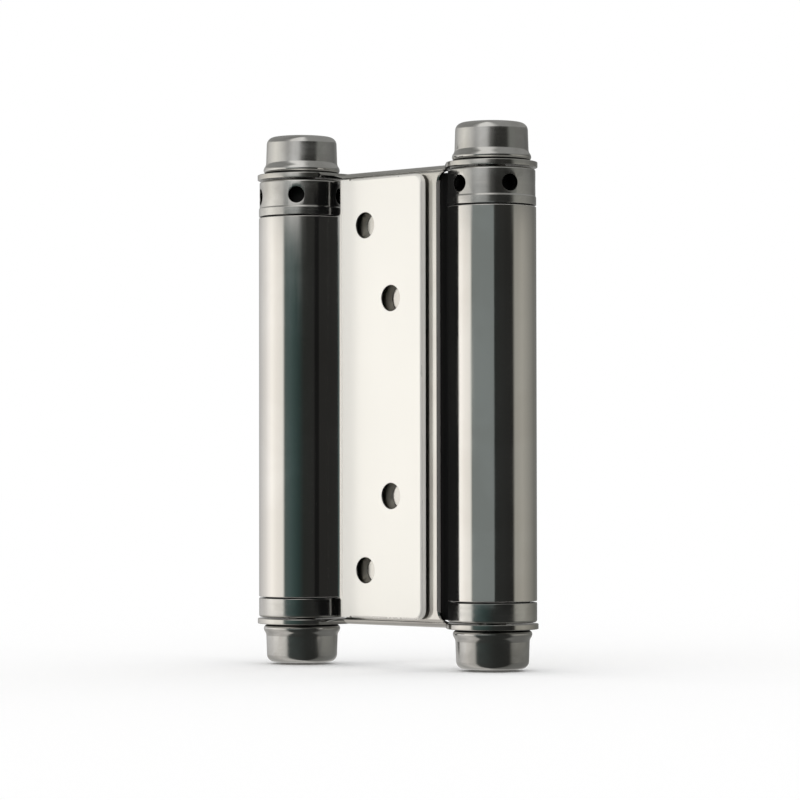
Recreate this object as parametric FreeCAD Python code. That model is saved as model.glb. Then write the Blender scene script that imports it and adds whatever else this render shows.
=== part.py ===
"""Double-action spring hinge: two sprung barrels with leaves, joined by a flanged centre web.

Millimetres. The origin is the middle of the closed hinge, +X runs from the jamb barrel to the
door barrel, +Z is up along both barrels, and the jamb leaf's mounting face looks along -Y.
The two barrel sets are one set and its copy turned half round about Z.
"""
import FreeCAD, Part
import math
import os

# Overall
hinge_height = 100.5      # over the outer faces of the web's flanges
axis_spacing = 51.4       # between the barrel axes, measured along X

# Sheet and stack of plates in the closed hinge
web_sheet = 1.2
leaf_sheet = 1.5
leaf_gap = 0.5            # free space between a closed leaf and the web
leaf_set = 1.2            # mounting face of a leaf, behind its own barrel axis

# Barrel and leaf
tube_radius = 9.6
bend_radius = 2.4         # hollow of the bend between leaf and barrel
seam_gap = 0.35           # between the rolled end and the back of the bend
leaf_end_gap = 5.5        # free end of a leaf to the other barrel, along X
leaf_end_clearance = 0.45  # top and bottom of a leaf to the flanges
free_corner = 2.2
shoulder_corner = 1.2
notch_corner = 0.8
screw_hole_radius = 2.85
countersink_depth = 1.1
inner_column = 7.0        # screw holes, from the bend
outer_column = 9.4        # screw holes, from the free end
outer_row = 10.5          # screw holes near the ends, from the top and bottom of the leaf
row_step = 16.4           # from those to the middle screw holes

# Web
web_edge_gap = 2.7        # side edge of the web to the barrel, along X
web_bend = 2.0            # outside radius of the flange bends
flange_inset = 0.2        # flange edge, short of the rear leaf's mounting face
eye_lip = 0.3             # eye beyond the barrel's radius
flange_blend = 1.4        # hollow corners between flange and eye
relief_corner = 2.6       # hollow corners between the web's side edges and the flanges

# Collar and ring at the ends of a barrel
end_gap = 0.3
collar_height = 7.9
ring_height = 4.25
cup_wall = 1.3
cup_edge = 0.5
rim_height = 1.8
rim_step = 0.15           # collar wall above its rim, set in by this much
bar_hole_count = 5
bar_hole_radius = 1.85
bar_hole_drop = 3.5       # hole centres below the top of the collar
bar_hole_floor = 4.6      # bottom of the holes, from the axis
bar_hole_turn = -54.5     # first hole, from +X of its own barrel, in degrees
collar_turn = 3.5         # the jamb collar forward and the door collar back, in degrees

# Spindle, anchors and spring
spindle_radius = 3.0
spindle_flat = 2.5        # half the width across the flats at the eyes
bore_clearance = 0.05
fixed_clearance = 0.02
spigot_length = 6.4
lug_height = 2.0
lug_span = 50.0           # degrees
lug_wall = 1.4            # lug, in from the spigot's radius
pin_radius = 1.0
pin_end_inset = 0.4
wire_side = 2.2
spring_clearance = 0.9    # coil to the barrel's bore
spring_turns = 16
spring_leg = 2.0
spring_play = 0.3         # between each end of the spring and its anchor
leg_play = 6.0            # between each leg and its lug, in degrees

# Caps
cap_height = 8.8
cap_wall = 0.9
skirt_inset = 1.05        # skirt, in from the barrel's radius
skirt_height = 1.0
skirt_edge = 0.35
neck_height = 2.2
skirt_flare = 0.55        # skirt beyond the crown's base
crown_taper = 0.2         # crown's base beyond its top
crown_edge = 2.0
crown_rise = 0.35
retainer_height = 5.5
retainer_chamfer = 0.3
rivet_height = 0.8
rivet_flare = 0.9

# Levels and places that follow from the sizes above
flange_outer = hinge_height / 2
flange_inner = flange_outer - web_sheet
collar_top = flange_inner - end_gap
collar_bottom = collar_top - collar_height
tube_top = collar_bottom - end_gap
ring_bottom = -flange_inner + end_gap
ring_top = ring_bottom + ring_height
tube_bottom = ring_top + end_gap
leaf_half = flange_inner - leaf_end_clearance
leaf_reach = axis_spacing - tube_radius - leaf_end_gap
bore_radius = tube_radius - leaf_sheet
cup_bore = tube_radius - rim_step - cup_wall
spigot_radius = bore_radius - bore_clearance
spring_radius = bore_radius - spring_clearance - wire_side / 2
skirt_radius = tube_radius - skirt_inset
crown_base_radius = skirt_radius - skirt_flare
crown_top_radius = crown_base_radius - crown_taper
axis_x = axis_spacing / 2
axis_y = web_sheet / 2 + leaf_gap + leaf_sheet + leaf_set
web_half_width = axis_x - tube_radius - web_edge_gap
eye_radius = tube_radius + eye_lip
eye_bore = spindle_radius + bore_clearance
upper_seat = tube_top - spigot_length
lower_seat = tube_bottom + spigot_length
spring_foot = lower_seat + spring_play
spring_head = upper_seat - spring_play
through = hinge_height    # longer than anything a cutter has to pass through
shortest_edge = 1e-6      # two corners closer than this are one

up = FreeCAD.Vector(0, 0, 1)
origin = FreeCAD.Vector(0, 0, 0)


def at(x, y, z=0.0):
    return FreeCAD.Vector(x, y, z)


def on_plan(u, v):
    return FreeCAD.Vector(u, v, 0)


def on_front(u, v):
    return FreeCAD.Vector(u, 0, v)


def polar(radius, degrees, centre=(0.0, 0.0)):
    turn = math.radians(degrees)
    return (centre[0] + radius * math.cos(turn), centre[1] + radius * math.sin(turn))


def line(place, start, end):
    return Part.LineSegment(place(*start), place(*end)).toShape()


def arc(place, centre, radius, start, end):
    """Arc from one angle to another, in degrees, in the plane that place maps to."""
    points = [place(*polar(radius, angle, centre)) for angle in (start, (start + end) / 2, end)]
    return Part.Arc(*points).toShape()


def face(edges):
    return Part.Face(Part.Wire(edges))


def rounded(place, corners):
    """Closed outline through corners given as (u, v, radius), with an arc at each rounded one."""
    points = [FreeCAD.Vector(u, v, 0) for u, v, radius in corners]
    ends = []
    for index, (u, v, radius) in enumerate(corners):
        corner = points[index]
        back = (points[index - 1] - corner).normalize()
        ahead = (points[(index + 1) % len(points)] - corner).normalize()
        half = back.getAngle(ahead) / 2
        middle = (back + ahead).normalize()
        run = radius / math.tan(half)
        crest = corner + middle * (radius / math.sin(half) - radius)
        ends.append((corner + back * run, crest, corner + ahead * run))
    edges = []
    for index, (first, crest, last) in enumerate(ends):
        if corners[index][2] > 0:
            edges.append(Part.Arc(*[place(p.x, p.y) for p in (first, crest, last)]).toShape())
        nearest = ends[(index + 1) % len(ends)][0]
        if (nearest - last).Length > shortest_edge:
            edges.append(line(place, (last.x, last.y), (nearest.x, nearest.y)))
    return face(edges)


def hollow_corner(level, above, eye, radius, blend, side):
    """Blend between the line v = level and a circle beside it.

    above is 1 where the blend lies over the line and -1 where it lies under it. side is 1 where
    the line runs off to +u from the circle. Gives the blend's centre and its angle at the circle.
    """
    rise = level + above * blend - eye[1]
    reach = math.sqrt((radius + blend) ** 2 - rise ** 2)
    centre = (eye[0] + side * reach, level + above * blend)
    turn = math.degrees(math.atan2(rise, reach))
    return centre, turn if side > 0 else 180 - turn


def revolved(points):
    outline = [on_front(*p) for p in points]
    section = Part.Face(Part.makePolygon(outline + outline[:1]))
    return section.revolve(origin, up, 360)


def disc(radius, low, high):
    return Part.makeCylinder(radius, high - low, at(0, 0, low))


def radial_hole(radius, start, end, level, degrees):
    x, y = polar(start, degrees)
    dx, dy = polar(1.0, degrees)
    return Part.makeCylinder(radius, end - start, at(x, y, level), at(dx, dy))


def flatted(radius, low, high, flat):
    """Round bar with two flats, facing along Y."""
    bar = disc(radius, low, high)
    slab = Part.makeBox(4 * radius, 2 * flat, high - low, at(-2 * radius, -flat, low))
    return bar.common(slab)


def barrel_leaf():
    """Sheet rolled into a tube, with a hollow bend out to its flat leaf."""
    front, back = leaf_set, leaf_set + leaf_sheet
    bend, bend_turn = hollow_corner(front, -1, (0.0, 0.0), tube_radius, bend_radius, 1)
    outer_bend = bend_radius + leaf_sheet
    clear = outer_bend + seam_gap
    bend_reach = math.hypot(*bend)
    swing = (tube_radius ** 2 + bend_reach ** 2 - clear ** 2) / (2 * tube_radius * bend_reach)
    seam = bend_turn + math.degrees(math.acos(swing)) - 360
    meet = bend_turn + 180
    section = face([
        line(on_plan, (leaf_reach, front), (bend[0], front)),
        arc(on_plan, bend, bend_radius, 90, meet),
        arc(on_plan, (0, 0), tube_radius, bend_turn, seam),
        line(on_plan, polar(tube_radius, seam), polar(bore_radius, seam)),
        arc(on_plan, (0, 0), bore_radius, seam, bend_turn),
        arc(on_plan, bend, outer_bend, meet, 90),
        line(on_plan, (bend[0], back), (leaf_reach, back)),
        line(on_plan, (leaf_reach, back), (leaf_reach, front)),
    ])
    section.translate(at(0, 0, -leaf_half))
    sheet = section.extrude(at(0, 0, 2 * leaf_half))
    outside = -2 * tube_radius
    outline = rounded(on_front, [
        (outside, tube_bottom, 0),
        (bend[0], tube_bottom, notch_corner),
        (bend[0], -leaf_half, shoulder_corner),
        (leaf_reach, -leaf_half, free_corner),
        (leaf_reach, leaf_half, free_corner),
        (bend[0], leaf_half, shoulder_corner),
        (bend[0], tube_top, notch_corner),
        (outside, tube_top, 0),
    ])
    outline.translate(at(0, -through / 2))
    piece = sheet.common(outline.extrude(at(0, through)))
    for x, z in screw_places(bend[0]):
        piece = piece.cut(screw_cutter(x, z, front, back))
    return piece


def screw_places(bend_x):
    high = leaf_half - outer_row
    middle = high - row_step
    inner = bend_x + inner_column
    outer = leaf_reach - outer_column
    return [(inner, high), (outer, middle), (outer, -middle), (inner, -high)]


def screw_cutter(x, z, front, back):
    """Plain hole with a countersink on the side of the web."""
    sink_radius = screw_hole_radius + countersink_depth
    hole = Part.makeCylinder(screw_hole_radius, leaf_sheet, at(x, front, z), at(0, 1))
    sink = Part.makeCone(screw_hole_radius, sink_radius, countersink_depth,
                         at(x, back - countersink_depth, z), at(0, 1))
    return hole.fuse(sink)


def cup(height, lip, inset):
    """Drawn cup, open at z = 0, with a rim of radius tube_radius and a bored end plate."""
    wall = tube_radius - inset
    bore = wall - cup_wall
    return revolved([
        (bore, 0),
        (tube_radius - inset, 0),
        (tube_radius, inset),
        (tube_radius, lip),
        (wall, lip + inset),
        (wall, height - cup_edge),
        (wall - cup_edge * 0.3, height - cup_edge * 0.3),
        (wall - cup_edge, height),
        (spindle_radius + bore_clearance, height),
        (spindle_radius + bore_clearance, height - cup_wall),
        (bore, height - cup_wall),
    ])


def bar_hole_angles():
    return [bar_hole_turn + 360 * n / bar_hole_count for n in range(bar_hole_count)]


def tension_collar():
    """Cup over the barrel's top end, with holes for the tension bar."""
    piece = cup(collar_height, rim_height, rim_step)
    piece.translate(at(0, 0, collar_bottom))
    for degrees in bar_hole_angles():
        piece = piece.cut(radial_hole(bar_hole_radius, spindle_radius + cup_wall, 2 * tube_radius,
                                      collar_top - bar_hole_drop, degrees))
    return piece


def bottom_ring():
    """Short plain cup over the barrel's bottom end."""
    piece = cup(ring_height, ring_height - cup_edge - 2 * rim_step, rim_step)
    piece.rotate(origin, at(1, 0), 180)
    piece.translate(at(0, 0, ring_top))
    return piece


def spring_lug(start, low, high):
    """Sector on an anchor's seat that a spring leg bears on."""
    inner, outer = spring_radius - wire_side / 2, spigot_radius - lug_wall
    end = start + lug_span
    section = face([
        line(on_plan, polar(inner, start), polar(outer, start)),
        arc(on_plan, (0, 0), outer, start, end),
        line(on_plan, polar(outer, end), polar(inner, end)),
        arc(on_plan, (0, 0), inner, end, start),
    ])
    section.translate(at(0, 0, low))
    return section.extrude(at(0, 0, high - low))


def leg_angle():
    """Angle from the end of the coil to the end of its straight leg."""
    return math.degrees(math.atan2(spring_leg, spring_radius - wire_side / 2))


def upper_anchor():
    """Hub pressed into the collar: journal for the barrel, bar holes and lug for the spring."""
    head = cup_bore - fixed_clearance
    bore = spindle_radius + bore_clearance
    piece = revolved([
        (bore, upper_seat), (spigot_radius, upper_seat), (spigot_radius, collar_bottom),
        (head, collar_bottom), (head, collar_top - cup_wall), (bore, collar_top - cup_wall),
    ])
    for degrees in bar_hole_angles():
        piece = piece.cut(radial_hole(bar_hole_radius, bar_hole_floor, 2 * tube_radius,
                                      collar_top - bar_hole_drop, degrees))
    return piece.fuse(spring_lug(leg_angle() + leg_play, upper_seat - lug_height, upper_seat))


def lower_anchor():
    """Hub pressed into the ring and pinned to the spindle: journal and lug for the spring."""
    head = cup_bore - fixed_clearance
    bore = spindle_radius + fixed_clearance
    piece = revolved([
        (bore, ring_bottom + cup_wall), (head, ring_bottom + cup_wall), (head, ring_top),
        (spigot_radius, ring_top), (spigot_radius, lower_seat), (bore, lower_seat),
    ])
    piece = piece.fuse(spring_lug(-leg_angle() - leg_play - lug_span, lower_seat,
                                  lower_seat + lug_height))
    return piece.cut(cross_bar(pin_radius + fixed_clearance, 2 * tube_radius))


def pin_level():
    return (tube_bottom + lower_seat) / 2


def cross_bar(radius, half_length):
    return Part.makeCylinder(radius, 2 * half_length, at(0, -half_length, pin_level()), at(0, 1))


def anchor_pin():
    """Cross pin through the lower anchor and the spindle."""
    return cross_bar(pin_radius, spigot_radius - pin_end_inset)


def spindle():
    """Bar through the whole barrel, with flats in the eyes and riveted over at both ends."""
    top = flange_outer + retainer_height
    head = spindle_radius + rivet_flare
    rivet = revolved([
        (0, top), (head, top), (head, top + rivet_height * 0.4),
        (spindle_radius * 0.6, top + rivet_height), (0, top + rivet_height),
    ])
    piece = disc(spindle_radius, -flange_inner, flange_inner)
    piece = piece.cut(cross_bar(pin_radius + fixed_clearance, 2 * spindle_radius))
    for turn in (0, 180):
        end = flatted(spindle_radius, flange_inner, top, spindle_flat).fuse(rivet)
        end.rotate(origin, at(1, 0), turn)
        piece = piece.fuse(end)
    return piece


def spring():
    """Torsion spring of square wire with a straight leg at each end."""
    height = spring_head - spring_foot - wire_side
    pitch = height / spring_turns
    path = Part.makeHelix(pitch, height, spring_radius)
    half = wire_side / 2
    section = Part.makePolygon([at(spring_radius + u * half, 0, v * half)
                                for u, v in ((-1, -1), (1, -1), (1, 1), (-1, 1), (-1, -1))])
    coil = Part.Wire(path).makePipeShell([section], True, True)
    for level, way in ((0, -1), (height, 1)):
        low = at(spring_radius - half, 0, level - half)
        leg = Part.makeBox(wire_side, spring_leg, wire_side, low)
        if way < 0:
            leg.translate(at(0, -spring_leg))
        coil = coil.fuse(leg)
    coil.translate(at(0, 0, spring_foot + half))
    return coil


def crown(inset, foot):
    """Body of a cap from z = foot up, with its surface drawn in by inset."""
    skirt, base, top = skirt_radius - inset, crown_base_radius - inset, crown_top_radius - inset
    height = cap_height - inset
    edge = crown_edge - inset * 0.5
    shoulder = height - crown_rise - edge
    neck_middle = (base + (skirt - base) * 0.3, skirt_height + (neck_height - skirt_height) * 0.45)
    edge_middle = polar(edge, 45, (top - edge, shoulder))
    section = face([
        line(on_front, (0, foot), (skirt - skirt_edge, foot)),
        line(on_front, (skirt - skirt_edge, foot), (skirt, foot + skirt_edge)),
        line(on_front, (skirt, foot + skirt_edge), (skirt, skirt_height)),
        Part.Arc(on_front(skirt, skirt_height), on_front(*neck_middle),
                 on_front(base, neck_height)).toShape(),
        line(on_front, (base, neck_height), (top, shoulder)),
        Part.Arc(on_front(top, shoulder), on_front(*edge_middle),
                 on_front(top - edge, shoulder + edge)).toShape(),
        line(on_front, (top - edge, shoulder + edge), (0, height)),
        line(on_front, (0, height), (0, foot)),
    ])
    return section.revolve(origin, up, 360)


def cap():
    """Drawn cap with a flared skirt, standing on the eye's outer face."""
    piece = crown(0, 0).cut(crown(cap_wall, -skirt_edge))
    piece.translate(at(0, 0, flange_outer))
    return piece


def retainer():
    """Bush riveted on the spindle's end, which carries the cap."""
    slope = crown_taper / (cap_height - crown_rise - crown_edge - neck_height)
    radius = crown_base_radius - slope * (retainer_height - neck_height) - cap_wall - fixed_clearance
    bore = spindle_radius + fixed_clearance
    piece = revolved([
        (bore, 0), (radius, 0), (radius, retainer_height - retainer_chamfer),
        (radius - retainer_chamfer, retainer_height), (bore, retainer_height),
    ])
    piece.translate(at(0, 0, flange_outer))
    return piece


def upside_down(piece):
    turned = piece.copy()
    turned.rotate(origin, at(1, 0), 180)
    return turned


def web_section():
    """Side view of the web: a sheet with both ends bent back."""
    front, back = -web_sheet / 2, web_sheet / 2
    inner_bend = max(web_bend - web_sheet, 0.05)
    edge = axis_y - leaf_set - flange_inset
    rim = [
        (edge, -flange_outer, 0), (front, -flange_outer, web_bend),
        (front, flange_outer, web_bend), (edge, flange_outer, 0),
        (edge, flange_inner, 0), (back, flange_inner, inner_bend),
        (back, -flange_inner, inner_bend), (edge, -flange_inner, 0),
    ]
    return rounded(lambda u, v: FreeCAD.Vector(0, u, v), rim)


def flange():
    """Flat roof of the web with an eye at each end, from its underside up."""
    front, edge = -web_sheet / 2, axis_y - leaf_set - flange_inset
    jamb_eye, door_eye = (-axis_x, -axis_y), (axis_x, axis_y)
    size = (eye_radius, flange_blend)
    front_jamb, front_jamb_turn = hollow_corner(front, -1, jamb_eye, *size, 1)
    front_door, front_door_turn = hollow_corner(front, -1, door_eye, *size, -1)
    back_jamb, back_jamb_turn = hollow_corner(edge, 1, jamb_eye, *size, 1)
    back_door, back_door_turn = hollow_corner(edge, 1, door_eye, *size, -1)
    outline = face([
        line(on_plan, (front_jamb[0], front), (front_door[0], front)),
        arc(on_plan, front_door, flange_blend, 90, front_door_turn - 180),
        arc(on_plan, door_eye, eye_radius, front_door_turn - 360, back_door_turn),
        arc(on_plan, back_door, flange_blend, back_door_turn - 180, -90),
        line(on_plan, (back_door[0], edge), (back_jamb[0], edge)),
        arc(on_plan, back_jamb, flange_blend, -90, back_jamb_turn - 180),
        arc(on_plan, jamb_eye, eye_radius, back_jamb_turn, front_jamb_turn + 360),
        arc(on_plan, front_jamb, flange_blend, front_jamb_turn + 180, 90),
    ])
    outline.translate(at(0, 0, flange_inner))
    return outline.extrude(at(0, 0, web_sheet))


def centre_web():
    """Web plate with two flanges bent back, each with an eye over both barrels."""
    half = web_half_width + relief_corner
    plate = web_section()
    plate.translate(at(-half, 0))
    plate = plate.extrude(at(2 * half, 0))
    outline = rounded(on_front, [
        (-half, -flange_outer, 0), (half, -flange_outer, 0), (half, -flange_inner, 0),
        (web_half_width, -flange_inner, relief_corner), (web_half_width, flange_inner, relief_corner),
        (half, flange_inner, 0), (half, flange_outer, 0), (-half, flange_outer, 0),
        (-half, flange_inner, 0), (-web_half_width, flange_inner, relief_corner),
        (-web_half_width, -flange_inner, relief_corner), (-half, -flange_inner, 0),
    ])
    outline.translate(at(0, -through / 2))
    piece = plate.common(outline.extrude(at(0, through)))
    bend_box = Part.makeBox(2 * half, through, web_sheet,
                            at(-half, web_bend - web_sheet / 2 - through, flange_inner))
    roof = flange().cut(bend_box)
    for side in (-1, 1):
        hole = flatted(eye_bore, flange_inner, flange_outer, spindle_flat + bore_clearance)
        hole.translate(at(side * axis_x, side * axis_y))
        roof = roof.cut(hole)
    floor = roof.mirror(origin, up)
    return piece.fuse([roof, floor]).removeSplitter()


def barrel_set():
    """Every piece about one barrel, with the barrel's axis on the Z axis."""
    top_cap, top_retainer = cap(), retainer()
    return {
        "barrel_leaf": barrel_leaf(),
        "tension_collar": tension_collar(),
        "upper_anchor": upper_anchor(),
        "bottom_ring": bottom_ring(),
        "lower_anchor": lower_anchor(),
        "anchor_pin": anchor_pin(),
        "spindle": spindle(),
        "spring": spring(),
        "top_cap": top_cap,
        "bottom_cap": upside_down(top_cap),
        "top_retainer": top_retainer,
        "bottom_retainer": upside_down(top_retainer),
    }


def placed(piece, name, side):
    """Copy of a piece set on its own barrel: side is -1 for the jamb and 1 for the door."""
    copy = piece.copy()
    if name in ("tension_collar", "upper_anchor"):
        copy.rotate(origin, up, -side * collar_turn)
    copy.translate(at(-axis_x, -axis_y))
    if side > 0:
        copy.rotate(origin, up, 180)
    return copy


def build():
    pieces = {"centre_web": centre_web()}
    for name, piece in barrel_set().items():
        for prefix, side in (("jamb", -1), ("door", 1)):
            pieces[f"{prefix}_{name}"] = placed(piece, name, side)
    return pieces


os.makedirs("parts", exist_ok=True)
for node, shape in build().items():
    shape.exportStep(f"parts/{node}.step")
    print(node, shape.ShapeType, len(shape.Solids), round(shape.Volume, 2), shape.isValid())
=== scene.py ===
import bmesh
import bpy
import math
from mathutils import Matrix, Vector


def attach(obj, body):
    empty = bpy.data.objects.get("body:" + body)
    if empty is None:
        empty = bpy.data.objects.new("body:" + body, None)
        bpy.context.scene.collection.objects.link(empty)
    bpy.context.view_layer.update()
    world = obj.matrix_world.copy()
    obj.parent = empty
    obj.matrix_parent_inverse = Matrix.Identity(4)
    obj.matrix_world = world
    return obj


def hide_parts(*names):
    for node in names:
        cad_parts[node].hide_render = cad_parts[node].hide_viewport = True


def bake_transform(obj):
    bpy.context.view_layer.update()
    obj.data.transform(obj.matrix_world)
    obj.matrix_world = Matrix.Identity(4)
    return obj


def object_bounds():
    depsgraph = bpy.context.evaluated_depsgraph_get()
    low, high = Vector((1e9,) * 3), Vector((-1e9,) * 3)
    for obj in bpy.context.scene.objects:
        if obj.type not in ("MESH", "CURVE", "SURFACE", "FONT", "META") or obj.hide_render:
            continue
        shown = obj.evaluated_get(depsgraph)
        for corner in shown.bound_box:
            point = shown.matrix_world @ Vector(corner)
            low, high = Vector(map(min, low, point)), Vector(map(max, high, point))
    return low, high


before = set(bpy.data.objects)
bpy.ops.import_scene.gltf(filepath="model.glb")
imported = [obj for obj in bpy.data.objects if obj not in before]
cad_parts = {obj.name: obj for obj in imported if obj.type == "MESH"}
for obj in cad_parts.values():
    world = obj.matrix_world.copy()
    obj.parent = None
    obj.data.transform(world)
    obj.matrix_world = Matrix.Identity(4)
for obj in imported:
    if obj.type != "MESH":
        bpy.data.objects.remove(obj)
cadBox = [list(corner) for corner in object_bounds()]
print("frame loaded, nodes:", len(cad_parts))

mm = 0.001
upAxis = (0, 0, 1)
alongLeaf = (1, 0, 0)
flatWeight = 60            # how far large faces rule the shading of the rounded edges beside them

# Sizes that several pieces share, in mm.
hinge = {
    "axisX": 25.7,         # barrel axes, from the middle of the hinge
    "axisY": 3.8,
    "tubeRadius": 9.6,
    "tubeTop": 40.55,
    "tubeBottom": -44.2,
    "flangeOuter": 50.25,
    "merge": 0.0004,       # corners closer than this are one
}

# A piece is modelled in mm about its own barrel axis, then set on the jamb or the door barrel.
onJamb = Matrix.Translation((-hinge["axisX"], -hinge["axisY"], 0))
barrelPlace = {"jamb": onJamb, "door": Matrix.Rotation(math.pi, 4, "Z") @ onJamb}
toMetres = Matrix.Scale(mm, 4)
upsideDown = Matrix.Rotation(math.pi, 4, "X")


def cleaned(bm):
    bmesh.ops.remove_doubles(bm, verts=bm.verts[:], dist=hinge["merge"])
    bmesh.ops.recalc_face_normals(bm, faces=bm.faces[:])


def sharpEdges(bm, limit):
    return [e for e in bm.edges if e.is_manifold and e.calc_face_angle() > math.radians(limit)]


def rollOver(bm, edges, width, steps, clamp=True):
    bmesh.ops.bevel(bm, geom=edges, offset=width, offset_type="OFFSET", segments=steps, profile=0.5,
                    affect="EDGES", clamp_overlap=clamp, material=-1)


def roundCorners(bm, corners, size, steps):
    bmesh.ops.bevel(bm, geom=corners, offset=size, offset_type="OFFSET", segments=steps, profile=0.5,
                    affect="VERTICES", material=-1)


def cutAcross(bm, place, direction, near, **kept):
    # Cuts every face that the plane crosses.
    return bmesh.ops.bisect_plane(bm, geom=bm.verts[:] + bm.edges[:] + bm.faces[:], dist=near,
                                  plane_co=place, plane_no=direction, **kept)


def partWay(value, start, end):
    # 0 at the start, 1 at the end.
    return max(0, min(1, (value - start) / (end - start)))


def linkedPiece(name, bm):
    mesh = bpy.data.meshes.new(name)
    bm.to_mesh(mesh)
    bm.free()
    piece = bpy.data.objects.new(name, mesh)
    bpy.context.scene.collection.objects.link(piece)
    return piece


def finishedPiece(name, bm, place, body, nodes, slotName):
    bmesh.ops.transform(bm, matrix=place, verts=bm.verts[:])
    bmesh.ops.recalc_face_normals(bm, faces=bm.faces[:])
    for f in bm.faces:
        f.smooth = True
    piece = linkedPiece(name, bm)
    weighted = piece.modifiers.new("flatFaces", "WEIGHTED_NORMAL")
    weighted.mode = "FACE_AREA"
    weighted.weight = flatWeight
    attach(piece, body)
    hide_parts(*nodes)
    piece.data.materials.append(finishes[slotName])
    print("piece", name, "faces", len(piece.data.polygons))


# Materials: polished sheet with fine polishing lines, turned steel and spring wire.
# The raw colour is the web's raw cut sides; on the leaves and caps it is near black, painted shade for
# crevices, holes and gaps.
finishSettings = {
    "leaf_sheet": {"colour": (0.81, 0.795, 0.77), "shade": (0.76, 0.74, 0.71), "rough": (0.09, 0.17),
                   "lines": (900, 900, 26), "cloud": 55, "bump": 0.012,
                   "satin": (0.96, 0.935, 0.87), "satinMetal": 0.2, "rawOrPaintedShade": (0.008, 0.008, 0.008)},
    "web_sheet": {"colour": (0.72, 0.71, 0.68), "shade": (0.65, 0.63, 0.60), "rough": (0.10, 0.20),
                  "lines": (900, 900, 26), "cloud": 70, "bump": 0.012,
                  "satin": (0.80, 0.79, 0.75), "satinMetal": 0.35, "rawOrPaintedShade": (0.50, 0.49, 0.47)},
    "collar_sheet": {"colour": (0.74, 0.735, 0.715), "shade": (0.62, 0.61, 0.59), "rough": (0.13, 0.24),
                     "lines": (60, 60, 1500), "cloud": 160, "bump": 0.015},
    "cap_sheet": {"colour": (0.72, 0.715, 0.70), "shade": (0.62, 0.61, 0.59), "rough": (0.13, 0.22),
                  "lines": (60, 60, 1300), "cloud": 150, "bump": 0.012,
                  "satin": (0.60, 0.595, 0.58), "satinMetal": 1.0, "rawOrPaintedShade": (0.03, 0.03, 0.03)},
    "turned_steel": {"colour": (0.52, 0.52, 0.52), "shade": (0.36, 0.36, 0.36), "rough": (0.28, 0.42),
                     "lines": (80, 80, 1800), "cloud": 120, "bump": 0.04},
    # Blackened steel of the anchors; its near-black colour is also painted shade seen through the collar
    # holes.
    "blackened_steel": {"colour": (0.06, 0.06, 0.06), "shade": (0.03, 0.03, 0.03), "rough": (0.45, 0.6),
                        "lines": (80, 80, 1800), "cloud": 120, "bump": 0.04},
    "spring_wire": {"colour": (0.30, 0.30, 0.31), "shade": (0.16, 0.155, 0.15), "rough": (0.30, 0.46),
                    "lines": (400, 400, 400), "cloud": 180, "bump": 0.03},
}

# Polish marks of the sheet pieces, and the grain that all the finishes share. The raw mark is raw cut metal
# on the web, and painted black shade on the leaves and caps.
rawOrPaintedShadeMark, satinMark, brightMark = 0.0, 0.5, 1.0
grain = {
    "lineDetail": 4.0, "cloudDetail": 3.0, "cloudTwist": 0.4,
    "glossFrom": (0.12, 0.42),     # lines and clouds together, from the glossiest to the dullest
    "tintFrom": (0.38, 0.58),      # clouds, from the shade to the full colour
    "depth": 0.0002,               # of the polishing lines, in metres
    "rawRough": 0.5,               # roughness that raw sheet has more than bright sheet
}


def noise(tree, vector, scale, detail, distortion):
    made = tree.nodes.new("ShaderNodeTexNoise")
    made.inputs["Scale"].default_value = scale
    made.inputs["Detail"].default_value = detail
    made.inputs["Distortion"].default_value = distortion
    tree.links.new(vector, made.inputs["Vector"])
    return made.outputs["Fac"]


def spread(tree, value, low, high, fromLow, fromHigh):
    # The value's range, given as low to high.
    made = tree.nodes.new("ShaderNodeMapRange")
    made.inputs["From Min"].default_value = fromLow
    made.inputs["From Max"].default_value = fromHigh
    made.inputs["To Min"].default_value = low
    made.inputs["To Max"].default_value = high
    tree.links.new(value, made.inputs["Value"])
    return made.outputs["Result"]


def attribute(tree, name):
    made = tree.nodes.new("ShaderNodeAttribute")
    made.attribute_name = name
    return made.outputs["Fac"]


def blended(tree, share, without, colour):
    # The colour where share is 1, and the plain colour where it is 0.
    made = tree.nodes.new("ShaderNodeMix")
    made.data_type = "RGBA"
    made.inputs["A"].default_value = (*without, 1)
    tree.links.new(share, made.inputs["Factor"])
    tree.links.new(colour, made.inputs["B"])
    return made.outputs["Result"]


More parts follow.
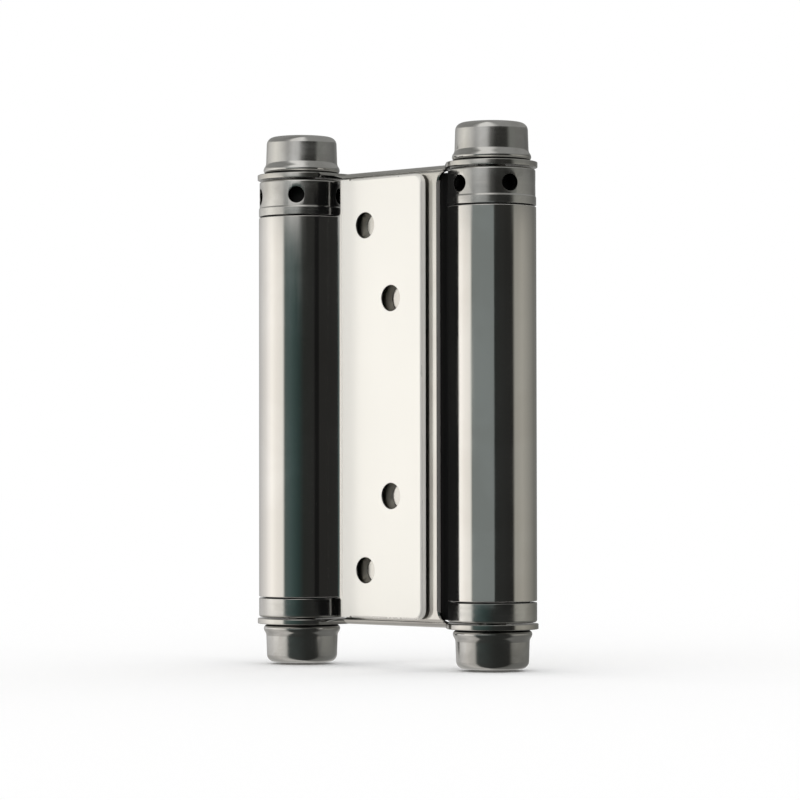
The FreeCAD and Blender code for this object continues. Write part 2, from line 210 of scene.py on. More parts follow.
def metalFinish(name, look):
    material = bpy.data.materials.new(name)
    material.use_nodes = True
    tree = material.node_tree
    shader = tree.nodes["Principled BSDF"]
    shader.inputs["Metallic"].default_value = 1.0

    coords = tree.nodes.new("ShaderNodeTexCoord")
    stretch = tree.nodes.new("ShaderNodeMapping")
    stretch.inputs["Scale"].default_value = look["lines"]
    tree.links.new(coords.outputs["Object"], stretch.inputs["Vector"])
    # Fine polishing lines and faint handling marks.
    lines = noise(tree, stretch.outputs["Vector"], 1.0, grain["lineDetail"], 0.0)
    cloud = noise(tree, coords.outputs["Object"], look["cloud"], grain["cloudDetail"], grain["cloudTwist"])

    both = tree.nodes.new("ShaderNodeMath")
    both.operation = "MULTIPLY"
    tree.links.new(lines, both.inputs[0])
    tree.links.new(cloud, both.inputs[1])
    gloss = spread(tree, both.outputs["Value"], *look["rough"], *grain["glossFrom"])

    tint = tree.nodes.new("ShaderNodeValToRGB")
    for stop, position, kind in zip(tint.color_ramp.elements, grain["tintFrom"], ("shade", "colour")):
        stop.position = position
        stop.color = (*look[kind], 1)
    tree.links.new(cloud, tint.inputs["Fac"])
    colour = tint.outputs["Color"]

    if "satin" in look:
        polishOrShade = attribute(tree, "polishOrShade")
        rougher = tree.nodes.new("ShaderNodeMath")
        rougher.operation = "ADD"
        tree.links.new(gloss, rougher.inputs[0])
        dullness = spread(tree, polishOrShade, grain["rawRough"], 0.0, rawOrPaintedShadeMark, brightMark)
        tree.links.new(dullness, rougher.inputs[1])
        gloss = rougher.outputs["Value"]
        colour = blended(tree, spread(tree, polishOrShade, 0.0, 1.0, satinMark, brightMark), look["satin"], colour)
        # Raw marks take the raw colour: raw cut metal on the web, painted black shade on the leaves and
        # caps.
        colour = blended(tree, spread(tree, polishOrShade, 0.0, 1.0, rawOrPaintedShadeMark, satinMark), look["rawOrPaintedShade"], colour)
        metal = spread(tree, polishOrShade, look["satinMetal"], 1.0, satinMark, brightMark)
        tree.links.new(metal, shader.inputs["Metallic"])
    tree.links.new(gloss, shader.inputs["Roughness"])
    tree.links.new(colour, shader.inputs["Base Color"])

    relief = tree.nodes.new("ShaderNodeBump")
    relief.inputs["Strength"].default_value = look["bump"]
    relief.inputs["Distance"].default_value = grain["depth"]
    tree.links.new(lines, relief.inputs["Height"])
    tree.links.new(relief.outputs["Normal"], shader.inputs["Normal"])
    return material


finishes = {name: metalFinish(name, look) for name, look in finishSettings.items()}
print("finishes made:", len(finishes))

# Barrel leaf: a drilled blank with rounded edges, rolled into a hollow bend and a tube.
leafBlank = {
    "sheet": 1.5,
    "set": 1.2,                # front face, behind the barrel axis
    "bend": 2.4,               # radius of the hollow bend
    "seamGap": 0.35,
    "reach": 36.3,             # free end, from the barrel axis
    "half": 48.6,
    "freeCorner": 2.2,
    "shoulder": 0.15,
    "shoulderIn": 0.7,         # length of the bend that the ends of the leaf take in
    "notch": 0.8,
    "hole": 2.85,
    "sink": 1.1,
    "innerColumn": 7.0,        # holes, from the bend
    "outerColumn": 9.4,        # holes, from the free end
    "rows": (38.1, 21.7),
    "edge": 0.14,
    "edgeSteps": 3,
    "sharp": 30,               # edges sharper than this, in degrees, are rolled over
    "frontEdge": 0.55,         # the worn front edge round the flat leaf
    "frontSteps": 6,
    "frontSharp": 60,
    "worn": 0.66,              # polish mark of that edge
    "wornDepth": (0.0175, 0.5225),   # depths from the front that have that mark
    "cornerSteps": 8,
    "paintedShadeFrom": 0.07,           # depth from the front where the barrel's cut edges and the hole walls are painted black as shade
    "backFrom": 1.4,           # depth from the front where the back begins
    "mill": 0.3,               # polish mark of the back
    "bendShadeFade": (1.4, 6.6),    # the back turns from painted black shade beside the bend to dull between these distances from the bend
    "fadeCuts": 6,
    "brightFrom": 0.8,         # length of the bend from satin to bright
    "holeSteps": 48,
    "holeReach": 1.02,         # corners within this many radii of a hole's middle are on its wall
    "flat": 0.5,               # faces that meet within this angle, in degrees, are one
    "rollStep": 2.0,           # degrees of barrel between two cuts
    "bendStep": 6.0,
}


def leafPlan():
    # Lengths and angles of the rolled blank: u runs along the front face, from the bend line.
    radius, bend = hinge["tubeRadius"], leafBlank["bend"]
    drop = leafBlank["set"] - bend
    reach = radius + bend
    bendX = math.sqrt(reach ** 2 - drop ** 2)
    turn = math.atan2(drop, bendX)
    clear = bend + leafBlank["sheet"] + leafBlank["seamGap"]
    seam = math.acos((radius ** 2 + reach ** 2 - clear ** 2) / (2 * radius * reach))
    bendTurn = math.pi / 2 + turn
    tubeTurn = 2 * math.pi - seam
    return {"bendX": bendX, "drop": drop, "turn": turn, "bendTurn": bendTurn, "tubeTurn": tubeTurn,
            "bendLength": bend * bendTurn, "tubeLength": radius * tubeTurn}


def rolled(u, depth, plan):
    radius, bend = hinge["tubeRadius"], leafBlank["bend"]
    if u >= 0:
        return plan["bendX"] + u, leafBlank["set"] + depth
    if -u <= plan["bendLength"]:
        angle = math.pi / 2 - u / bend
        away = bend + depth
        return plan["bendX"] + away * math.cos(angle), plan["drop"] + away * math.sin(angle)
    angle = plan["turn"] + (u + plan["bendLength"]) / radius
    away = radius - depth
    return away * math.cos(angle), away * math.sin(angle)


def leafHoles():
    inner = leafBlank["innerColumn"]
    outer = leafBlank["reach"] - leafPlan()["bendX"] - leafBlank["outerColumn"]
    far, near = leafBlank["rows"]
    return [(inner, far), (outer, near), (outer, -near), (inner, -far)]


def nearHole(u, z, radii):
    # Whether a place on the blank is within so many radii of the middle of a screw hole.
    return any(math.hypot(u - x, z - y) < leafBlank["hole"] * radii for x, y in leafHoles())


def flatBlank(plan):
    # Outline of the blank with its rounded corners, filled round the screw holes and given its thickness.
    bm = bmesh.new()
    start, end = -plan["bendLength"] - plan["tubeLength"], leafBlank["reach"] - plan["bendX"]
    half, top, bottom = leafBlank["half"], hinge["tubeTop"], hinge["tubeBottom"]
    inner = -leafBlank["shoulderIn"]
    notch, shoulder, free = leafBlank["notch"], leafBlank["shoulder"], leafBlank["freeCorner"]
    corners = [(start, bottom, 0), (inner, bottom, notch), (inner, -half, shoulder), (end, -half, free),
               (end, half, free), (inner, half, shoulder), (inner, top, notch), (start, top, 0)]
    ring = [bm.verts.new((u, 0, z)) for u, z, size in corners]
    bm.faces.new(ring)
    for size in (notch, shoulder, free):
        roundCorners(bm, [v for v, c in zip(ring, corners) if c[2] == size], size, leafBlank["cornerSteps"])
    bmesh.ops.delete(bm, geom=bm.faces[:], context="FACES_ONLY")
    holes = leafHoles()
    for u, z in holes:
        stand = Matrix.Translation((u, 0, z)) @ Matrix.Rotation(math.pi / 2, 4, "X")
        bmesh.ops.create_circle(bm, cap_ends=False, radius=leafBlank["hole"],
                                segments=leafBlank["holeSteps"], matrix=stand)
    bmesh.ops.triangle_fill(bm, use_beauty=True, use_dissolve=False, edges=bm.edges[:], normal=(0, -1, 0))
    raised = bmesh.ops.extrude_face_region(bm, geom=bm.faces[:])["geom"]
    moved = [g for g in raised if isinstance(g, bmesh.types.BMVert)]
    bmesh.ops.translate(bm, vec=(0, leafBlank["sheet"], 0), verts=moved)
    bmesh.ops.recalc_face_normals(bm, faces=bm.faces[:])
    for u, z in holes:
        sinkHole(bm, u, z)
    return bm


def sinkHole(bm, u, z):
    # Countersink on the back of the blank: a ring part way through the wall, and the back rim opened out.
    sheet, near, reach = leafBlank["sheet"], hinge["merge"], leafBlank["hole"] * leafBlank["holeReach"]
    wall = [e for e in bm.edges
            if abs(e.verts[0].co.y - e.verts[1].co.y) > sheet / 2 and e.calc_length() < sheet + near
            and all(math.hypot(v.co.x - u, v.co.z - z) < reach for v in e.verts)]
    bmesh.ops.subdivide_edges(bm, edges=wall, cuts=1)
    around = [v for v in bm.verts if math.hypot(v.co.x - u, v.co.z - z) < reach]
    for v in around:
        if near < v.co.y < sheet - near:
            v.co.y = sheet - leafBlank["sink"]
    rim = [v for v in around if v.co.y > sheet - near]
    grow = 1 + leafBlank["sink"] / leafBlank["hole"]
    bmesh.ops.scale(bm, vec=(grow, 1, grow), space=Matrix.Translation((-u, 0, -z)), verts=rim)


def roundFrontEdge(bm):
    # The front edge of the flat leaf is rolled over further than the rest.
    start = leafBlank["freeCorner"]
    cutAcross(bm, (start, 0, 0), alongLeaf, hinge["merge"])
    front = []
    for e in sharpEdges(bm, leafBlank["frontSharp"]):
        middle = (e.verts[0].co + e.verts[1].co) / 2
        atFront = max(abs(v.co.y) for v in e.verts) < hinge["merge"]
        if atFront and middle.x > start and not nearHole(middle.x, middle.z, 2):
            front.append(e)
    rollOver(bm, front, leafBlank["frontEdge"], leafBlank["frontSteps"])


def markPolishAndShade(bm):
    # Bright barrel, satin leaf with a worn front edge, dull back; painted black shade on the cut edges of
    # the barrel and beside the bend, on the hole walls and on the back beside the bend, fading into the
    # dull back.
    polishOrShade = bm.verts.layers.float.new("polishOrShade")
    wornFrom, wornTo = leafBlank["wornDepth"]
    besideBend = leafBlank["freeCorner"] + hinge["merge"]
    for v in bm.verts:
        u, depth, z = v.co
        if depth > leafBlank["backFrom"]:
            # painted black shade beside the bend, fading into the dull back
            v[polishOrShade] = leafBlank["mill"] * partWay(u, *leafBlank["bendShadeFade"])
        # painted black shade on the cut edges of the barrel and beside the bend, and on the hole walls
        elif depth > leafBlank["paintedShadeFrom"] and (u < besideBend or nearHole(u, z, leafBlank["holeReach"])):
            v[polishOrShade] = rawOrPaintedShadeMark
        elif u > 0 and wornFrom < depth < wornTo:
            v[polishOrShade] = leafBlank["worn"]
        else:
            v[polishOrShade] = satinMark + (brightMark - satinMark) * partWay(-u, 0, leafBlank["brightFrom"])


def barrelLeaf(side):
    plan = leafPlan()
    bm = flatBlank(plan)
    bmesh.ops.dissolve_limit(bm, angle_limit=math.radians(leafBlank["flat"]), verts=bm.verts[:],
                             edges=bm.edges[:])
    roundFrontEdge(bm)
    rollOver(bm, sharpEdges(bm, leafBlank["sharp"]), leafBlank["edge"], leafBlank["edgeSteps"])
    bendCuts = round(math.degrees(plan["bendTurn"]) / leafBlank["bendStep"])
    tubeCuts = round(math.degrees(plan["tubeTurn"]) / leafBlank["rollStep"])
    dullFrom, fadeCuts = leafBlank["bendShadeFade"][1], leafBlank["fadeCuts"]
    levels = [dullFrom + (leafBlank["freeCorner"] - dullFrom) * n / fadeCuts for n in range(fadeCuts)]
    levels += [-plan["bendLength"] * n / bendCuts for n in range(bendCuts + 1)]
    levels += [-plan["bendLength"] - plan["tubeLength"] * n / tubeCuts for n in range(1, tubeCuts)]
    for u in levels:
        cutAcross(bm, (u, 0, 0), alongLeaf, hinge["merge"])
    markPolishAndShade(bm)
    for v in bm.verts:
        v.co.x, v.co.y = rolled(v.co.x, v.co.y, plan)
    finishedPiece(side + "BarrelLeaf", bm, toMetres @ barrelPlace[side], side + "_leaf",
                  [side + "_barrel_leaf"], "leaf_sheet")


# Turned and drawn pieces: a closed outline with rounded corners, spun about the barrel axis.
def spunOutline(bm, corners, steps, roundSteps):
    ring = [bm.verts.new((r, 0, z)) for r, z, size in corners]
    bm.faces.new(ring)
    for size in sorted({c[2] for c in corners if c[2] > 0}):
        roundCorners(bm, [v for v, c in zip(ring, corners) if c[2] == size], size, roundSteps)
    bmesh.ops.delete(bm, geom=bm.faces[:], context="FACES_ONLY")
    onAxis = [e for e in bm.edges if all(abs(v.co.x) < hinge["merge"] for v in e.verts)]
    bmesh.ops.delete(bm, geom=onAxis, context="EDGES")
    bmesh.ops.spin(bm, geom=bm.verts[:] + bm.edges[:], cent=(0, 0, 0), axis=upAxis, dvec=(0, 0, 0),
                   angle=2 * math.pi, steps=steps, use_merge=True, use_duplicate=False)
    cleaned(bm)


capDrawn = {
    "height": 8.8, "wall": 0.9, "skirt": 8.55, "foot": 7.7, "beadLow": 0.7, "beadHigh": 1.4, "neck": 2.3,
    "base": 8.0, "top": 7.8, "edge": 1.5, "rise": 0.35, "beadSize": 0.34, "neckSize": 0.4,
    "dome": (3.51, 0.1225, 1.4),   # corner on the crown: its radius, depth below the top and rounding
    "footWall": 0.72, "beadWall": 0.99, "innerEdge": 0.75,
    "lip": 0.15,
    "paintedShadeFoot": 0.5,                # height of the foot that is painted black, as the shade of the gap under the bead
    "steps": 144, "roundSteps": 8,
}


def drawnCap(side, end):
    c = capDrawn
    high, wall, lip = c["height"], c["wall"], c["lip"]
    domeRadius, domeDrop, domeSize = c["dome"]
    crown = high - c["rise"]
    corners = [
        (0, high, 0), (domeRadius, high - domeDrop, domeSize), (c["top"], crown, c["edge"]),
        (c["base"], c["neck"], c["neckSize"]), (c["skirt"], c["beadHigh"], c["beadSize"]),
        (c["skirt"], c["beadLow"], c["beadSize"]), (c["foot"], 0, lip), (c["foot"] - c["footWall"], 0, lip),
        (c["skirt"] - c["beadWall"], c["beadHigh"], lip), (c["base"] - wall, c["neck"], lip),
        (c["top"] - wall, crown - wall, c["innerEdge"]), (0, high - wall, 0),
    ]
    bm = bmesh.new()
    spunOutline(bm, corners, c["steps"], c["roundSteps"])
    polishOrShade = bm.verts.layers.float.new("polishOrShade")
    for v in bm.verts:
        # The foot is painted black, as shade in the gap under the bead.
        v[polishOrShade] = rawOrPaintedShadeMark if v.co.z < c["paintedShadeFoot"] else brightMark
    lift = Matrix.Translation((0, 0, hinge["flangeOuter"]))
    turn = Matrix.Identity(4) if end == "top" else upsideDown
    place = toMetres @ barrelPlace[side] @ turn @ lift
    finishedPiece(side + end.capitalize() + "Cap", bm, place, "web", [f"{side}_{end}_cap"], "cap_sheet")


ringDrawn = {
    "bottom": -48.75, "height": 4.25, "wall": 1.45, "edge": 0.5, "lip": 0.15, "bore": 3.05, "plate": 1.3,
    "steps": 144, "roundSteps": 5,
}


def bottomRing(side):
    r = ringDrawn
    radius, low = hinge["tubeRadius"], r["bottom"]
    high, inner = low + r["height"], radius - r["wall"]
    corners = [
        (r["bore"], low, 0), (radius, low, r["edge"]), (radius, high, r["lip"]), (inner, high, r["lip"]),
        (inner, low + r["plate"], 0), (r["bore"], low + r["plate"], 0),
    ]
    bm = bmesh.new()
    spunOutline(bm, corners, r["steps"], r["roundSteps"])
    finishedPiece(side + "BottomRing", bm, toMetres @ barrelPlace[side], "web",
                  [side + "_bottom_ring"], "collar_sheet")


collarDrawn = {
    "top": 48.75, "height": 7.9, "wall": 1.3, "step": 0.15, "rim": 1.8, "edge": 0.5, "lip": 0.15,
    "stepSize": 0.12, "bore": 3.05, "holes": 5, "hole": 1.85, "holeDrop": 3.5,
    "firstHole": {"jamb": -51.0, "door": -58.0},   # degrees round the barrel
    "holeSteps": 40, "holeEdge": 0.16, "holeEdgeSteps": 3, "sharp": 30, "near": 0.02,
    "steps": 180, "roundSteps": 5,
}


def tensionCollar(side):
    k = collarDrawn
    radius, high = hinge["tubeRadius"], k["top"]
    low, wall = high - k["height"], radius - k["step"]
    inner = wall - k["wall"]
    plate, rim = high - k["wall"], low + k["rim"]
    corners = [
        (k["bore"], high, 0), (k["bore"], plate, 0), (inner, plate, 0), (inner, low, k["lip"]),
        (radius, low, k["lip"]), (radius, rim, k["stepSize"]), (wall, rim + k["step"], k["stepSize"]),
        (wall, high, k["edge"]),
    ]
    bm = bmesh.new()
    spunOutline(bm, corners, k["steps"], k["roundSteps"])
    drills = bmesh.new()
    middle = high - k["holeDrop"]
    angles = [k["firstHole"][side] + 360 * n / k["holes"] for n in range(k["holes"])]
    turns = [Matrix.Rotation(math.radians(degrees), 4, "Z") for degrees in angles]
    lying = Matrix.Translation((radius, 0, middle)) @ Matrix.Rotation(math.pi / 2, 4, "Y")
    for turn in turns:
        bmesh.ops.create_cone(drills, cap_ends=True, segments=k["holeSteps"], radius1=k["hole"],
                              radius2=k["hole"], depth=radius, matrix=turn @ lying)
    bm = cutAway(bm, drills)
    rims = []
    for e in sharpEdges(bm, k["sharp"]):
        for turn in turns:
            spots = [turn.inverted() @ v.co for v in e.verts]
            away = [abs(math.hypot(p.y, p.z - middle) - k["hole"]) for p in spots]
            if max(away) < k["near"] and min(p.x for p in spots) > inner + k["near"]:
                rims.append(e)
    rollOver(bm, rims, k["holeEdge"], k["holeEdgeSteps"])
    finishedPiece(side + "TensionCollar", bm, toMetres @ barrelPlace[side], side + "_collar",
                  [side + "_tension_collar"], "collar_sheet")


def cutAway(bm, cutter):
    # Takes the cutter's solids out of a piece and gives the new mesh.
    piece, drill = linkedPiece("piece", bm), linkedPiece("cutter", cutter)
    cut = piece.modifiers.new("holes", "BOOLEAN")
    cut.operation = "DIFFERENCE"
    cut.solver = "EXACT"
    cut.object = drill
    result = bmesh.new()
    result.from_object(piece, bpy.context.evaluated_depsgraph_get())
    for obj in (piece, drill):
        mesh = obj.data
        bpy.data.objects.remove(obj)
        bpy.data.meshes.remove(mesh)
    cleaned(result)
    return result


# Centre web: the folded sheet with its edges rolled over, bright but for its raw cut sides.
webFolded = {
    "edge": 0.16, "edgeSteps": 3, "merge": 0.02, "flat": 0.3, "sharp": 40,
    "crisp": (13.45, 16.6),    # the relief corners between these distances from the middle keep their edges
    "top": 47.5, "side": 0.5,  # the cut sides are within this height and depth
}


def centreWeb():
    w = webFolded
    bm = bmesh.new()
    bm.from_mesh(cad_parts["centre_web"].data)
    bmesh.ops.transform(bm, matrix=Matrix.Scale(1 / mm, 4), verts=bm.verts[:])
    bmesh.ops.remove_doubles(bm, verts=bm.verts[:], dist=w["merge"])
    bmesh.ops.dissolve_limit(bm, angle_limit=math.radians(w["flat"]), verts=bm.verts[:], edges=bm.edges[:])
    near, far = w["crisp"]
    edges = [e for e in sharpEdges(bm, w["sharp"])
             if not near <= abs(e.verts[0].co.x + e.verts[1].co.x) / 2 <= far]
    rollOver(bm, edges, w["edge"], w["edgeSteps"], clamp=False)
    cleaned(bm)
    polishOrShade = bm.verts.layers.float.new("polishOrShade")
    for v in bm.verts:
        v[polishOrShade] = rawOrPaintedShadeMark if abs(v.co.y) < w["side"] and abs(v.co.z) < w["top"] else brightMark
    finishedPiece("centreWeb", bm, toMetres, "web", ["centre_web"], "web_sheet")


# Torsion springs: each coil is parted at half height into a lower and an upper piece.
springWound = {
    "foot": -35.3, "head": 31.65,   # the coil between its legs
    "merge": 0.000002,              # in metres
    "crisp": 35,                    # edges sharper than this, in degrees, stay crisp
}


def woundSpring(side):
    s = springWound
    node = side + "_spring"
    middle = (s["foot"] + s["head"]) / 2
    lower = ("Lower", (s["foot"], middle), ("web", side + "_leaf"))
    upper = ("Upper", (middle, s["head"]), (side + "_leaf", side + "_collar"))
    for name, levels, bodies in (lower, upper):
        bm = bmesh.new()
        bm.from_mesh(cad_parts[node].data)
        bmesh.ops.remove_doubles(bm, verts=bm.verts[:], dist=s["merge"])
        cut = cutAcross(bm, (0, 0, middle * mm), upAxis, s["merge"],
                        clear_outer=name == "Lower", clear_inner=name == "Upper")
        rim = [g for g in cut["geom_cut"] if isinstance(g, bmesh.types.BMEdge)]
        bmesh.ops.holes_fill(bm, edges=rim, sides=0)
        bmesh.ops.recalc_face_normals(bm, faces=bm.faces[:])
        for f in bm.faces:
            f.smooth = True
        for e in bm.edges:
            e.smooth = e.calc_face_angle(0) < math.radians(s["crisp"])
        piece = linkedPiece(side + "Spring" + name, bm)
        piece.data.materials.append(finishes["spring_wire"])
        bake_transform(piece)
        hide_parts(node)
        print("piece", piece.name, "faces", len(piece.data.polygons))


centreWeb()
for side in barrelPlace:
    woundSpring(side)
    barrelLeaf(side)
    tensionCollar(side)
    bottomRing(side)
    for end in ("top", "bottom"):
        drawnCap(side, end)
print("sheet pieces and springs made")

# The pieces inside the barrels keep their turned shapes.
# The anchors are blackened steel; their near-black colour is also painted shade that makes the collar holes
# read black.
insideFinish = {
    "upper_anchor": "blackened_steel", "lower_anchor": "blackened_steel", "anchor_pin": "turned_steel",
    "spindle": "turned_steel", "top_retainer": "turned_steel", "bottom_retainer": "turned_steel",
}
for side in barrelPlace:
    for kind, slotName in insideFinish.items():
        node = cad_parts[f"{side}_{kind}"]
        node.data.materials.clear()
        node.data.materials.append(finishes[slotName])
print("inside pieces finished")

# White floor under the hinge and white light all round it, in metres.
floorSettings = {"drop": 0.0002, "size": 6.0, "colour": (1.0, 1.0, 1.0)}


def stagePiece(name, bm, material):
    piece = linkedPiece(name, bm)
    piece.data.materials.append(material)
    return piece


floorPaint = bpy.data.materials.new("floorPaint")
floorPaint.use_nodes = True
floorShader = floorPaint.node_tree.nodes["Principled BSDF"]
floorShader.inputs["Base Color"].default_value = (*floorSettings["colour"], 1)
floorShader.inputs["Roughness"].default_value = 1.0
floorShader.inputs["Specular IOR Level"].default_value = 0.0
floorMesh = bmesh.new()
bmesh.ops.create_grid(floorMesh, x_segments=1, y_segments=1, size=floorSettings["size"],
                      matrix=Matrix.Translation((0, 0, cadBox[0][2] - floorSettings["drop"])))
floor = stagePiece("floor", floorMesh, floorPaint)
floor.visible_glossy = False                 # the metal mirrors the tent instead

world = bpy.data.worlds.new("tent")
world.use_nodes = True
world.node_tree.nodes["Background"].inputs["Color"].default_value = (1, 1, 1, 1)
world.node_tree.nodes["Background"].inputs["Strength"].default_value = 1.0
bpy.context.scene.world = world

# Studio tent that the polished metal mirrors, seen only in reflections, in mm. Its tones are given by
# direction on the plan, in degrees from +X.
studio = {
    "tent": {"radius": 350, "heights": (-300, 300), "sides": 96},
    "tones": [
        (-180, (0.66, 0.65, 0.64)), (-158, (0.86, 0.84, 0.815)), (-146, (1.06, 1.03, 1.0)),
        (-134, (1.19, 1.16, 1.10)), (-118, (1.02, 0.985, 0.93)), (-100, (0.92, 0.90, 0.85)),
        (-94, (0.09, 0.12, 0.115)), (-79, (0.066, 0.10, 0.098)), (-68, (0.046, 0.074, 0.071)),
        (-56, (0.03, 0.05, 0.048)), (-42, (0.024, 0.027, 0.025)), (-20, (0.026, 0.027, 0.026)),
        (8, (0.02, 0.02, 0.019)),
        (13, (0.36, 0.355, 0.32)), (35, (0.40, 0.39, 0.35)), (85, (0.18, 0.18, 0.165)),
        (120, (0.20, 0.20, 0.195)), (150, (0.42, 0.415, 0.41)), (180, (0.66, 0.65, 0.64)),
    ],
    "highTones": [
        (-180, (0.60, 0.59, 0.57)), (-140, (0.90, 0.875, 0.81)), (-112, (0.66, 0.65, 0.62)),
        (-94, (0.46, 0.46, 0.45)), (-76, (0.68, 0.68, 0.67)), (-58, (0.58, 0.58, 0.57)),
        (-46, (0.12, 0.12, 0.115)), (-32, (0.03, 0.03, 0.028)), (2, (0.03, 0.03, 0.027)),
        (12, (0.19, 0.195, 0.18)), (40, (0.20, 0.20, 0.19)), (90, (0.15, 0.15, 0.145)),
        (150, (0.35, 0.35, 0.34)), (180, (0.56, 0.55, 0.53)),
    ],
    "topTones": [
        (-180, (0.30, 0.30, 0.29)), (-112, (0.24, 0.24, 0.23)), (-94, (0.40, 0.40, 0.39)),
        (-84, (0.92, 0.91, 0.88)), (-46, (0.86, 0.85, 0.83)), (-22, (0.30, 0.30, 0.29)),
        (40, (0.30, 0.30, 0.29)), (180, (0.30, 0.30, 0.29)),
    ],
    "lowTones": [
        (-180, (0.40, 0.395, 0.38)), (-134, (0.62, 0.60, 0.57)), (-100, (0.50, 0.49, 0.46)),
        (-92, (0.06, 0.065, 0.062)), (-30, (0.03, 0.032, 0.03)), (8, (0.03, 0.03, 0.028)),
        (20, (0.16, 0.16, 0.15)), (100, (0.20, 0.20, 0.19)), (135, (0.55, 0.54, 0.52)),
        (180, (0.40, 0.395, 0.38)),
    ],
    # The tones change upwards, from lowTones, between these heights.
    "changes": (("tones", -90, -74), ("highTones", 60, 70), ("topTones", 140, 165)),
    # Upright strips about a barrel's axis, seen only in reflections: black sheets that stand in for the
    # shade of its crevices, and a grey one in front.
    "cards": [
        ("jamb", (10.7, 4.0, -49.0), (10.7, 17.2, 49.0), (0.01, 0.01, 0.01)),
        ("door", (10.7, 4.0, -49.0), (10.7, 17.2, 49.0), (0.01, 0.01, 0.01)),
        ("jamb", (9.7, 3.8, -49.0), (12.1, 3.8, 49.0), (0.003, 0.003, 0.003)),
        ("door", (9.7, 3.8, -49.0), (12.1, 3.8, 49.0), (0.003, 0.003, 0.003)),
        ("jamb", (11.8, -3.2, 40.95), (11.8, 3.8, 48.7), (0.006, 0.006, 0.006)),
        ("jamb", (11.8, -3.2, -44.45), (11.8, 1.0, 40.95), (0.024, 0.024, 0.023)),
        ("jamb", (11.8, -3.2, -48.7), (11.8, 3.8, -44.45), (0.006, 0.006, 0.006)),
        ("door", (-2.0, 15.8, -44.9), (-17.3, 15.8, 41.5), (0.21, 0.235, 0.232)),
    ],
    # White strips that light the leaves where the barrels shade them.
    "fill": [
        ("jamb", (10.4, -9.6, -49.0), (10.4, 0.8, 49.0), (1.0, 1.0, 1.0)),
        ("door", (10.4, -9.6, -49.0), (10.4, 0.8, 49.0), (1.0, 1.0, 1.0)),
        ("jamb", (11.2, 5.0, -49.0), (11.2, 15.0, 49.0), (1.0, 1.0, 1.0)),
        ("door", (11.2, 5.0, -49.0), (11.2, 15.0, 49.0), (1.0, 1.0, 1.0)),
    ],
}


def glowPaint(name, colour):
    paint = bpy.data.materials.new(name)
    paint.use_nodes = True
    tree = paint.node_tree
    tree.nodes.remove(tree.nodes["Principled BSDF"])
    glow = tree.nodes.new("ShaderNodeEmission")
    glow.inputs["Color"].default_value = (*colour, 1)
    tree.links.new(glow.outputs["Emission"], tree.nodes["Material Output"].inputs["Surface"])
    return paint, tree, glow


def onlySeen(card, mirrored):
    # Seen either in mirror reflections or as soft light.
    card.visible_camera = False
    card.visible_glossy = mirrored
    card.visible_diffuse = not mirrored
    card.visible_shadow = False
    card.visible_transmission = False


def toneRamp(tree, share, tones):
    made = tree.nodes.new("ShaderNodeValToRGB")
    stops = made.color_ramp.elements
    while len(stops) < len(tones):
        stops.new(0.5)
    for stop, (degrees, colour) in zip(stops, tones):
        stop.position = degrees / 360 + 0.5
        stop.color = (*colour, 1)
    tree.links.new(share, made.inputs["Fac"])
    return made.outputs["Color"]


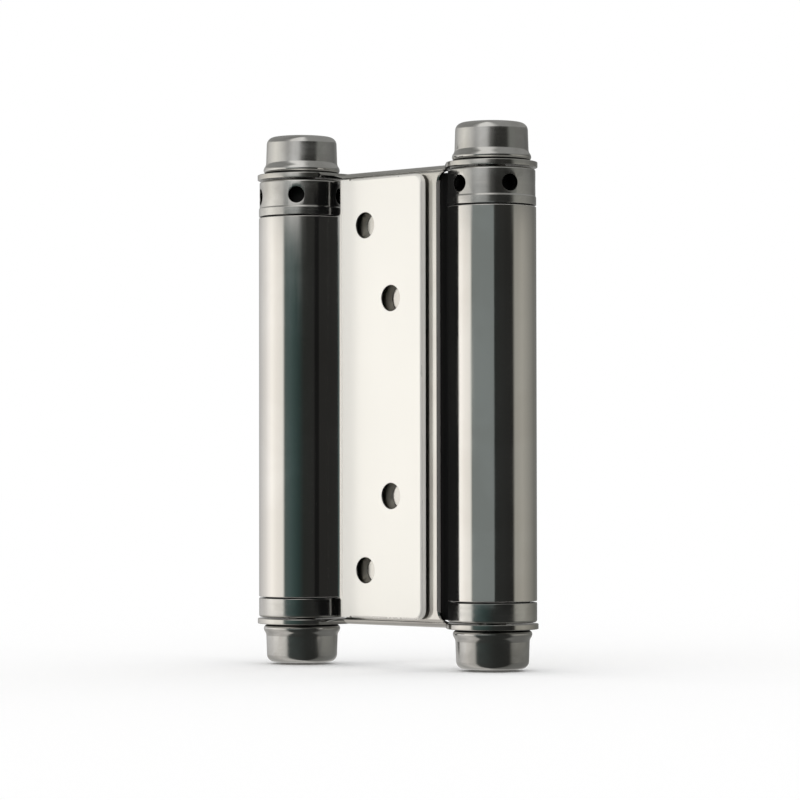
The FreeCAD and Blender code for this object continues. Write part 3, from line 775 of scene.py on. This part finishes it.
def studioTent():
    paint, tree, glow = glowPaint("tentPaint", (1, 1, 1))
    coords = tree.nodes.new("ShaderNodeTexCoord")
    around = tree.nodes.new("ShaderNodeTexGradient")
    around.gradient_type = "RADIAL"
    tree.links.new(coords.outputs["Object"], around.inputs["Vector"])
    height = tree.nodes.new("ShaderNodeSeparateXYZ")
    tree.links.new(coords.outputs["Object"], height.inputs["Vector"])
    colour = toneRamp(tree, around.outputs["Fac"], studio["lowTones"])
    for name, start, end in studio["changes"]:
        mixed = tree.nodes.new("ShaderNodeMix")
        mixed.data_type = "RGBA"
        above = spread(tree, height.outputs["Z"], 0.0, 1.0, start * mm, end * mm)
        tree.links.new(above, mixed.inputs["Factor"])
        tree.links.new(colour, mixed.inputs["A"])
        tree.links.new(toneRamp(tree, around.outputs["Fac"], studio[name]), mixed.inputs["B"])
        colour = mixed.outputs["Result"]
    tree.links.new(colour, glow.inputs["Color"])
    tent = studio["tent"]
    low, high = tent["heights"]
    bm = bmesh.new()
    bmesh.ops.create_cone(bm, cap_ends=True, cap_tris=True, segments=tent["sides"], radius1=tent["radius"],
                          radius2=tent["radius"], depth=high - low,
                          matrix=Matrix.Translation((0, 0, (low + high) / 2)))
    bmesh.ops.transform(bm, matrix=toMetres, verts=bm.verts[:])
    onlySeen(stagePiece("studioTent", bm, paint), True)


def studioCards(cards, mirrored):
    for side, low, high, tone in cards:
        paint = glowPaint("cardPaint", tone)[0]
        bm = bmesh.new()
        foot = [bm.verts.new(low), bm.verts.new((high[0], high[1], low[2]))]
        strip = bmesh.ops.extrude_edge_only(bm, edges=[bm.edges.new(foot)])["geom"]
        raised = [g for g in strip if isinstance(g, bmesh.types.BMVert)]
        bmesh.ops.translate(bm, vec=(0, 0, high[2] - low[2]), verts=raised)
        bmesh.ops.transform(bm, matrix=toMetres @ barrelPlace[side], verts=bm.verts[:])
        onlySeen(stagePiece("studioCard", bm, paint), mirrored)


studioTent()
studioCards(studio["cards"], True)
studioCards(studio["fill"], False)
print("floor, light and tent made")

# Camera at the photograph's angle.
cameraSettings = {"azimuth": 44.835, "elevation": -1.41, "roll": -0.08, "distance": 0.7456, "lens": 152.56,
                  "sensor": 36, "shiftX": 0.00626, "shiftY": -0.00345, "near": 0.01, "far": 50}


def placeCamera(c):
    data = bpy.data.cameras.new("camera")
    camera = bpy.data.objects.new("camera", data)
    bpy.context.scene.collection.objects.link(camera)
    a, e = math.radians(c["azimuth"]), math.radians(c["elevation"])
    back = Vector((math.sin(a) * math.cos(e), -math.cos(a) * math.cos(e), math.sin(e)))
    look = (-back).to_track_quat("-Z", "Y").to_matrix().to_4x4()
    roll = Matrix.Rotation(math.radians(c["roll"]), 4, "Z")
    camera.matrix_world = Matrix.Translation(back * c["distance"]) @ look @ roll
    data.sensor_width = c["sensor"]
    data.lens = c["lens"]
    data.shift_x = c["shiftX"]
    data.shift_y = c["shiftY"]
    data.clip_start = c["near"]
    data.clip_end = c["far"]
    bpy.context.scene.camera = camera


placeCamera(cameraSettings)
bpy.context.scene.view_settings.view_transform = "Standard"
